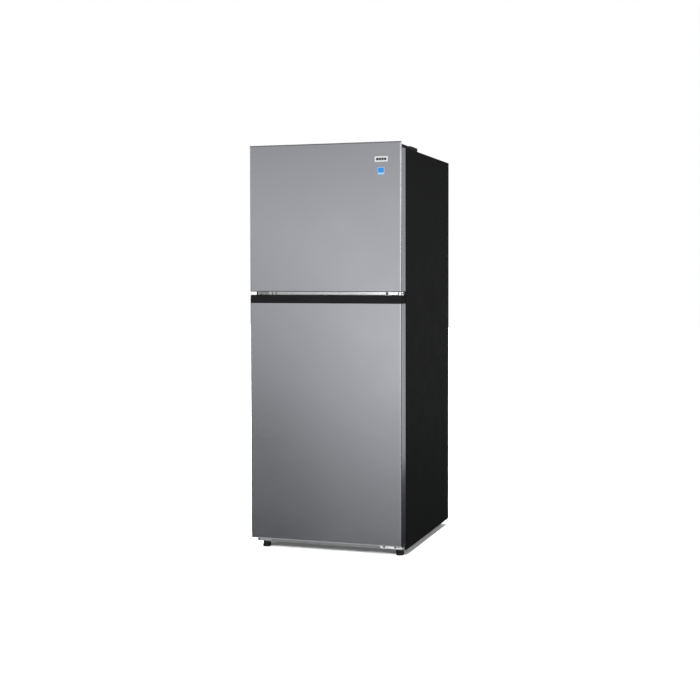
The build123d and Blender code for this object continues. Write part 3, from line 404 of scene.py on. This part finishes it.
finishes = {
    "door_steel": brushedSheet("doorSteel", (0.555, 0.567, 0.60), 0.23),
    "black_paint": paintedSheet("cabinetBlack", (0.0085, 0.009, 0.0095), 0.40, 520, 0.0004, 0.30,
                                shine=0.25),
    "rear_grey": paintedSheet("rearGrey", (0.20, 0.21, 0.215), 0.5),
    "zinc_steel": paintedSheet("zincSheet", (0.55, 0.56, 0.57), 0.38, 90, 0.0002, 0.1, metal=1.0),
    "foam": mouldedPlastic("foamYellow", (0.78, 0.62, 0.30), 0.9, 300, 0.6, 0.001, 0.12),
    "white_plastic": linerPlastic("linerWhite", (0.80, 0.81, 0.815), 0.30),
    "rail_silver": paintedSheet("railBright", (0.84, 0.845, 0.85), 0.20, 300, 0.0001, 0.04,
                                metal=0.85),
    "rail_grey": paintedSheet("railGrey", (0.12, 0.122, 0.125), 0.42),
    "black_plastic": mouldedPlastic("plasticBlack", (0.014, 0.014, 0.014), 0.5, 1100, 0.3),
    "cap_black": mouldedPlastic("gripBandBlack", (0.008, 0.008, 0.009), 0.38, 1400, 0.15,
                                shine=0.22),
    "cap_grey": mouldedPlastic("capGrey", (0.10, 0.103, 0.108), 0.42, 1400, 0.15),
    "nylon": mouldedPlastic("rollerNylon", (0.66, 0.65, 0.6), 0.45),
    "black_enamel": paintedSheet("compressorEnamel", (0.01, 0.01, 0.01), 0.22, 60, 0.0006, 0.2),
    "black_rubber": mouldedPlastic("rubberBlack", (0.016, 0.016, 0.016), 0.75, 700, 0.3),
    "relay_plastic": mouldedPlastic("relayBlack", (0.03, 0.03, 0.032), 0.45),
    "copper": paintedSheet("copperTube", (0.72, 0.36, 0.22), 0.3, 120, 0.0002, 0.1, metal=1.0),
    "pan_plastic": mouldedPlastic("panGrey", (0.5, 0.51, 0.52), 0.5),
    "screw_steel": paintedSheet("screwSteel", (0.30, 0.30, 0.31), 0.35, 200, 0.0002, 0.1,
                                metal=1.0),
    "coil_aluminium": paintedSheet("coilAluminium", (0.75, 0.76, 0.77), 0.4, 120, 0.0002, 0.1,
                                   metal=1.0),
    "motor_plastic": mouldedPlastic("fanBlack", (0.03, 0.03, 0.03), 0.45),
    "white_wire": mouldedPlastic("wireWhite", (0.80, 0.81, 0.82), 0.25, 400, 0.08),
    "frame_plastic": mouldedPlastic("shelfFrameWhite", (0.80, 0.81, 0.82), 0.32),
    "shelf_glass": seeThrough("shelfGlass", (0.88, 0.96, 0.93), 0.03, 1.0, 25, 1.5),
    "clear_plastic": seeThrough("binClear", (0.93, 0.965, 0.98), 0.07, 0.94, 60, 1.45),
    "knob_grey": mouldedPlastic("knobGrey", (0.35, 0.36, 0.37), 0.4),
    "lamp_diffuser": glowing(mouldedPlastic("lampMilk", (0.88, 0.88, 0.85), 0.35),
                             (1.0, 0.95, 0.86), 5.0),
    "hinge_steel": paintedSheet("hingePlate", (0.80, 0.80, 0.80), 0.25, 150, 0.0002, 0.08,
                                metal=1.0),
    "plug_white": mouldedPlastic("plugWhite", (0.80, 0.80, 0.79), 0.35),
    "badge_silver": paintedSheet("badgeSilver", (0.84, 0.85, 0.86), 0.3, 900, 0.0001, 0.05,
                                 metal=0.25),
    "label_blue": mouldedPlastic("labelBlue", (0.03, 0.30, 0.80), 0.35),
    "gasket": mouldedPlastic("gasketGrey", (0.30, 0.31, 0.32), 0.55, 600, 0.15),
}
slotOf = {part["node"]: part["material_slot"] for part in frame["record"]["subparts"]}
for name, node in nodes.items():
    node.data.materials.clear()
    node.data.materials.append(finishes[slotOf[name]])
print("finishes on", len(nodes), "nodes")


shaping = {
    "weld": 0.00001,   # points closer than this are one
    "sharp": 30,       # degrees, edges sharper than this are softened
    "softSteps": 2,
    "facing": 0.9,     # how squarely a face or edge has to point one way to be picked
    "touch": 0.0001,   # slack when a level is compared
}


def startCube(name, low, high):
    # a block between two corners, left open in edit mode with nothing selected
    bpy.ops.object.select_all(action="DESELECT")
    size = [b - a for a, b in zip(low, high)]
    middle = [(a + b) / 2 for a, b in zip(low, high)]
    bpy.ops.mesh.primitive_cube_add(size=1, location=middle)
    piece = bpy.context.object
    piece.name = name
    piece.scale = size
    bpy.ops.object.transform_apply(location=True, rotation=True, scale=True)
    bpy.ops.object.mode_set(mode="EDIT")
    bpy.ops.mesh.select_all(action="DESELECT")
    return piece


def pickFaces(piece, test):
    bpy.ops.mesh.select_all(action="DESELECT")
    bpy.ops.mesh.select_mode(type="FACE")
    mesh = bmesh.from_edit_mesh(piece.data)
    for face in mesh.faces:
        if test(face.calc_center_median(), face.normal):
            face.select_set(True)
    mesh.select_flush_mode()
    bmesh.update_edit_mesh(piece.data)


def pickEdges(piece, test):
    bpy.ops.mesh.select_all(action="DESELECT")
    bpy.ops.mesh.select_mode(type="EDGE")
    mesh = bmesh.from_edit_mesh(piece.data)
    for edge in mesh.edges:
        a, b = (vert.co for vert in edge.verts)
        if test((a + b) / 2, (b - a).normalized()):
            edge.select_set(True)
    mesh.select_flush_mode()
    bmesh.update_edit_mesh(piece.data)


def pushOut(vector):
    bpy.ops.mesh.extrude_region_move(TRANSFORM_OT_translate={"value": vector})


def shrinkTo(x=1.0, y=1.0, z=1.0, about=(0, 0, 0)):
    bpy.ops.transform.resize(value=(x, y, z), center_override=about)


def finishPiece(piece, body, slotName, angle=35, bevel=None):
    bpy.ops.mesh.select_mode(type="VERT")
    bpy.ops.mesh.select_all(action="SELECT")
    bpy.ops.mesh.remove_doubles(threshold=shaping["weld"])
    bpy.ops.object.mode_set(mode="OBJECT")
    bpy.ops.object.select_all(action="DESELECT")
    piece.select_set(True)
    bpy.context.view_layer.objects.active = piece
    if bevel:
        edges = piece.modifiers.new("softEdges", "BEVEL")
        edges.width, edges.segments = bevel, shaping["softSteps"]
        edges.limit_method = "ANGLE"
        edges.angle_limit = math.radians(shaping["sharp"])
        bpy.ops.object.modifier_apply(modifier=edges.name)
    bpy.ops.object.shade_smooth_by_angle(angle=math.radians(angle))
    if not piece.data.materials:
        piece.data.materials.append(finishes[slotName])
    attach(piece, body)
    return piece


binShape = {
    "wall": 0.0024,
    "cornerRadius": 0.022,
    "cornerSteps": 8,
    "floorRadius": 0.004,
    "floorSteps": 3,
    "taper": 0.97,       # how much narrower the floor is than the mouth
    "lean": 0.95,        # how much shallower the floor is than the mouth
    "rimHeight": 0.005,  # thicker band along the top
    "rimProud": 0.0014,
    "hookLow": 0.0157,   # the hooks' lower and upper faces, measured down from the rim
    "hookHigh": 0.006,
    "hookReach": 0.008,
    "hookNear": -0.277,
    "hookFar": -0.251,
    "backClear": 0.01,   # keeps the picks off the flat back
    "soft": 0.0005,
}
bins = {  # half of each bin's width, without its hooks
    "freezer_bin_lower": 0.205,
    "freezer_bin_upper": 0.205,
    "door_bin_bottle": 0.211,
    "door_bin_middle": 0.211,
    "door_bin_top": 0.211,
}


def addBlock(low, high):
    # one more block in the mesh that is being edited
    size = [abs(b - a) for a, b in zip(low, high)]
    middle = [(a + b) / 2 for a, b in zip(low, high)]
    bpy.ops.mesh.select_all(action="DESELECT")
    bpy.ops.mesh.primitive_cube_add(size=1, location=middle)
    bpy.ops.transform.resize(value=size, center_override=middle)


def makeBin(node, half):
    low, high = (Vector(corner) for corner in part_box(node))
    near, far, floor, top = low.y, high.y, low.z, high.z
    wall, proud, clear = binShape["wall"], binShape["rimProud"], binShape["backClear"]
    taper, lean, facing = binShape["taper"], binShape["lean"], shaping["facing"]
    side, front = half - proud, far - proud
    tub = startCube(node + "Moulded", (-side, near, floor), (side, front, top))
    pickEdges(tub, lambda at, way: abs(way.z) > facing and at.y > near + clear)
    bpy.ops.mesh.bevel(offset=binShape["cornerRadius"], segments=binShape["cornerSteps"])
    pickFaces(tub, lambda at, way: way.z < -facing)
    shrinkTo(taper, lean, 1, (0, near, floor))
    pickEdges(tub, lambda at, way: abs(at.z - floor) < shaping["touch"])
    bpy.ops.mesh.bevel(offset=binShape["floorRadius"], segments=binShape["floorSteps"])
    # the rim is a thicker band round the top, on all sides but the back
    rim = top - binShape["rimHeight"]
    bpy.ops.mesh.select_all(action="SELECT")
    bpy.ops.mesh.bisect(plane_co=(0, 0, rim), plane_no=(0, 0, 1))
    rim -= shaping["touch"]
    pickFaces(tub, lambda at, way: at.z > rim and abs(way.z) < 0.5 and way.y > -facing)
    pushOut((0, 0, 0))
    bpy.ops.transform.shrink_fatten(value=proud)
    # the mouth is the one upward face across the middle
    pickFaces(tub, lambda at, way: way.z > facing and abs(at.x) < clear
              and near + clear < at.y < front - clear)
    bpy.ops.mesh.inset(thickness=wall)
    pushOut((0, 0, floor + wall - top))
    shrinkTo(taper, lean, 1, (0, near, 0))
    for sign in (-1, 1):
        inner = (sign * half, binShape["hookNear"], top - binShape["hookLow"])
        outer = (sign * (half + binShape["hookReach"]), binShape["hookFar"],
                 top - binShape["hookHigh"])
        addBlock(inner, outer)
    finishPiece(tub, node, "clear_plastic", 35, binShape["soft"])
    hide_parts(node)


for node, half in bins.items():
    makeBin(node, half)
print("bins moulded:", len(bins))

gasketShape = {
    "width": 0.015,
    "lip": 0.0018,    # thin lip along both edges
    "fold": 0.0024,   # sunken fold beside each lip
    "depth": 0.0032,
    "cornerRadius": 0.004,
    "cornerSteps": 4,
    "cornerReach": 0.001,
    "soft": 0.0006,
}


def makeGasket(node, body):
    low, high = (Vector(corner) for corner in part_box(node))
    facing, reach = shaping["facing"], gasketShape["cornerReach"]
    seal = startCube(node + "Folded", low, high)
    pickFaces(seal, lambda at, way: abs(way.y) > facing)
    bpy.ops.mesh.inset(thickness=gasketShape["width"])
    bpy.ops.mesh.bridge_edge_loops()
    pickFaces(seal, lambda at, way: way.y > facing)
    bpy.ops.mesh.inset(thickness=gasketShape["lip"])
    pushOut((0, -gasketShape["depth"], 0))
    bpy.ops.mesh.inset(thickness=gasketShape["fold"])
    pushOut((0, gasketShape["depth"], 0))
    pickEdges(seal, lambda at, way: abs(way.y) > facing and abs(at.x) > high.x - reach
              and (at.z > high.z - reach or at.z < low.z + reach))
    bpy.ops.mesh.bevel(offset=gasketShape["cornerRadius"], segments=gasketShape["cornerSteps"])
    finishPiece(seal, body, "gasket", 40, gasketShape["soft"])
    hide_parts(node)


makeGasket("freezer_door_gasket", "freezer_door")
makeGasket("fridge_door_gasket", "fridge_door")
print("gaskets folded")

badgeShape = {
    "cornerRadius": 0.0025,
    "cornerSteps": 5,
    "edge": 0.0004,    # rounded edge of the raised plate
    "border": 0.0022,  # bright border round the sunken field
    "sink": 0.00025,
    "barPlaces": (-0.0150, -0.0050, 0.0050, 0.0150),
    "barHalf": 0.0042,
    "barClear": 0.0055,  # from the plate's top and foot
    "barFront": 0.00005,
    "barBack": 0.0006,
    "barColor": (0.02, 0.02, 0.022),
}
labelShape = {
    "cornerRadius": 0.0015,
    "cornerSteps": 4,
    "border": 0.0016,
    "band": 0.007,  # pale band along the foot
    "edgeColor": (0.38, 0.66, 0.95),
}


def flatTone(name, color, rough):
    return paintedSheet(name, color, rough, 900, 0.0001, 0.05)


def roundedPlate(name, node, shape):
    low, high = (Vector(corner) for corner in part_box(node))
    plate = startCube(name, low, high)
    pickEdges(plate, lambda at, way: abs(way.y) > shaping["facing"])
    bpy.ops.mesh.bevel(offset=shape["cornerRadius"], segments=shape["cornerSteps"])
    return plate, low, high


def paintPicked(piece, index):
    piece.active_material_index = index
    bpy.ops.object.material_slot_assign()


def makeBadge():
    plate, low, high = roundedPlate("badgePlate", "door_badge", badgeShape)
    pickFaces(plate, lambda at, way: way.y < -shaping["facing"])
    bpy.ops.mesh.inset(thickness=badgeShape["edge"])
    bpy.ops.mesh.inset(thickness=badgeShape["border"])
    plate.data.materials.append(finishes["badge_silver"])
    plate.data.materials.append(flatTone("badgeBars", badgeShape["barColor"], 0.4))
    pushOut((0, badgeShape["sink"], 0))
    # four plain dark bars stand in the sunken field
    half, clear = badgeShape["barHalf"], badgeShape["barClear"]
    for place in badgeShape["barPlaces"]:
        middle = (low.x + high.x) / 2 + place
        addBlock((middle - half, low.y + badgeShape["barFront"], low.z + clear),
                 (middle + half, low.y + badgeShape["barBack"], high.z - clear))
        paintPicked(plate, 1)
    finishPiece(plate, "freezer_door", "badge_silver", 30)
    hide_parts("door_badge")


def makeLabel():
    label, low, high = roundedPlate("blueLabel", "rating_label", labelShape)
    label.data.materials.append(flatTone("labelEdge", labelShape["edgeColor"], 0.35))
    label.data.materials.append(finishes["label_blue"])
    pickFaces(label, lambda at, way: way.y < -shaping["facing"])
    bpy.ops.mesh.inset(thickness=labelShape["border"])
    paintPicked(label, 1)
    bandTop = low.z + labelShape["band"]
    bpy.ops.mesh.bisect(plane_co=(0, 0, bandTop), plane_no=(0, 0, 1))
    pickFaces(label, lambda at, way: way.y < -shaping["facing"] and at.z < bandTop)
    paintPicked(label, 0)
    finishPiece(label, "freezer_door", "label_blue", 30)
    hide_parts("rating_label")


makeBadge()
makeLabel()
print("badge and label set")

knobShape = {
    "middle": (-0.070, -0.110, 0.917),
    "radius": 0.0146,
    "front": -0.012,  # front and back of the disc, measured from the middle
    "back": -0.0003,
    "grips": 24,
    "gripDepth": 0.0004,
    "dishEdge": 0.0022,
    "dish": 0.0012,
    "ridge": (0.0028, 0.0128),  # half width and half height of the finger ridge
    "ridgeFront": -0.017,
    "ridgeBack": -0.0105,
    "stem": (24, 0.003, 0.021, 0.0095),  # sides, radius, length and middle
    "soft": 0.0004,
}
tickShape = {
    "count": 7,
    "radius": 0.0156,
    "span": 150,  # degrees from the first tick to the last, over the knob's top
    "half": 0.0004,
    "proud": 0.0002,
    "length": 0.0008,
    "growth": 0.00016,  # each tick is this much longer than the one before
    "color": (0.16, 0.17, 0.18),
}


def makeKnob():
    x, y, z = knobShape["middle"]
    front, back = y + knobShape["front"], y + knobShape["back"]
    level = (math.radians(90), 0, 0)
    bpy.ops.object.select_all(action="DESELECT")
    bpy.ops.mesh.primitive_cylinder_add(
        vertices=knobShape["grips"] * 3, radius=knobShape["radius"], depth=back - front,
        location=(x, (front + back) / 2, z), rotation=level)
    knob = bpy.context.object
    knob.name = "dialKnob"
    bpy.ops.object.transform_apply(location=True, rotation=True, scale=True)
    bpy.ops.object.mode_set(mode="EDIT")
    step = 2 * math.pi / knobShape["grips"]

    def onGrip(at, way):
        turn = math.atan2(at.z - z, at.x - x) / step
        return abs(way.y) < 0.5 and abs(turn - round(turn)) < 0.2

    def onFace(at, way):
        return way.y < -shaping["facing"] and max(abs(at.x - x), abs(at.z - z)) < 0.001

    pickFaces(knob, onGrip)
    pushOut((0, 0, 0))
    bpy.ops.transform.shrink_fatten(value=knobShape["gripDepth"])
    pickFaces(knob, onFace)
    bpy.ops.mesh.inset(thickness=knobShape["dishEdge"])
    pushOut((0, knobShape["dish"], 0))
    halfWide, halfTall = knobShape["ridge"]
    addBlock((x - halfWide, y + knobShape["ridgeFront"], z - halfTall),
             (x + halfWide, y + knobShape["ridgeBack"], z + halfTall))
    sides, radius, length, middle = knobShape["stem"]
    bpy.ops.mesh.primitive_cylinder_add(vertices=sides, radius=radius, depth=length,
                                        rotation=level, location=(x, y + middle, z))
    finishPiece(knob, "control_knob", "knob_grey", 35, knobShape["soft"])
    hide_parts("control_knob")


def makeTicks():
    x, y, z = knobShape["middle"]
    half, proud, count = tickShape["half"], tickShape["proud"], tickShape["count"]
    ticks = startCube("dialTicks", (x - half, y - proud, z - half), (x + half, y + proud, z + half))
    # the starting block only opens the mesh
    bpy.ops.mesh.select_all(action="SELECT")
    bpy.ops.mesh.delete(type="VERT")
    gap = math.radians(tickShape["span"]) / (count - 1)
    first = math.radians(90 - tickShape["span"] / 2)
    near = x + tickShape["radius"]
    for place in range(count):
        far = near + tickShape["length"] + tickShape["growth"] * place
        addBlock((near, y - proud, z - half), (far, y + proud, z + half))
        bpy.ops.transform.rotate(value=first + place * gap, orient_axis="Y",
                                 center_override=(x, y, z))
    ticks.data.materials.append(flatTone("tickGrey", tickShape["color"], 0.5))
    finishPiece(ticks, "cabinet", "knob_grey", 35)


makeKnob()
makeTicks()
print("dial made")
